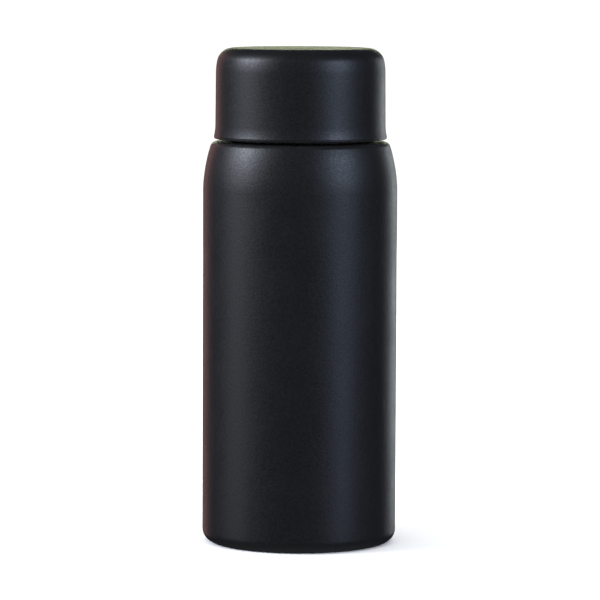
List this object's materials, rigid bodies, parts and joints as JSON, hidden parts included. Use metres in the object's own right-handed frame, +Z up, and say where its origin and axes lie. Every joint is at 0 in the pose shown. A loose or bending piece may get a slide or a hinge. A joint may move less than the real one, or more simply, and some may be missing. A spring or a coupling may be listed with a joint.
{
  "type": "vacuum flask",
  "caption": "Small steel vacuum flask with a curved shoulder, a screw-on drinking cup for a cap, and a push-button pouring stopper inside.",
  "frame": {"origin": "centre of the foot ring, on the plane that the flask stands on", "axes": "+Z up along the flask's axis, through the mouth; -Y is the side that the stopper's spout faces"},
  "size_m": [0.066, 0.066, 0.1685],
  "materials": {
    "powder_coat": "fine-textured matt black powder coat on steel",
    "polished_steel": "electropolished stainless steel",
    "plain_steel": "plain drawn stainless steel",
    "copper": "bright copper foil",
    "sintered_getter": "dull sintered metal",
    "solder_glass": "dark fused solder glass",
    "black_plastic": "fine-textured moulded polypropylene, black",
    "grey_plastic": "satin moulded polypropylene, dark grey",
    "silicone": "translucent pale silicone rubber",
    "foam": "closed-cell insulating foam"
  },
  "bodies": {
    "flask": {"outer_shell": "powder_coat", "inner_bottle": "polished_steel", "copper_foil": "copper", "getter_cup": "plain_steel", "getter_pellet": "sintered_getter", "base_plate": "plain_steel", "solder_plug": "solder_glass", "base_cover": "powder_coat", "neck_collar": "black_plastic"},
    "stopper_ring": {"stopper_flange_seal": "silicone"},
    "stopper": {"stopper_body": "black_plastic", "stopper_foam": "foam", "foam_cap": "black_plastic", "stopper_cover": "black_plastic", "stopper_lower_seal": "silicone", "stem_seal": "silicone", "button_spring": "plain_steel"},
    "valve": {"push_button": "grey_plastic", "valve_stem": "grey_plastic", "valve_head": "grey_plastic", "valve_seal": "silicone"},
    "cup_ring": {"cup_seal_ring": "silicone"},
    "cup": {"cup_shell": "powder_coat", "cup_liner": "black_plastic", "cup_foam_disc": "foam"}
  },
  "joints": [
    {"name": "stopper_rise", "type": "slide", "parent": "flask", "child": "stopper_ring", "axis": [0, 0, 1], "range_m": [0, 0.036]},
    {"name": "stopper_turn", "type": "hinge", "parent": "stopper_ring", "child": "stopper", "pos_m": [0, 0, 0.1496], "axis": [0, 0, 1], "range_deg": [0, 1234]},
    {"name": "button_press", "type": "slide", "parent": "stopper", "child": "valve", "axis": [0, 0, -1], "range_m": [0, 0.003], "stiffness_N_per_m": 600, "springref_m": -0.005, "deforming": ["button_spring"]},
    {"name": "cup_rise", "type": "slide", "parent": "stopper", "child": "cup_ring", "axis": [0, 0, 1], "range_m": [0, 0.03]},
    {"name": "cup_turn", "type": "hinge", "parent": "cup_ring", "child": "cup", "pos_m": [0, 0, 0.1496], "axis": [0, 0, 1], "range_deg": [0, 1028]}
  ],
  "couplings": [
    {"joint": "stopper_rise", "follows": "stopper_turn", "m_per_rad": 0.0016711},
    {"joint": "cup_rise", "follows": "cup_turn", "m_per_rad": 0.0016711}
  ]
}
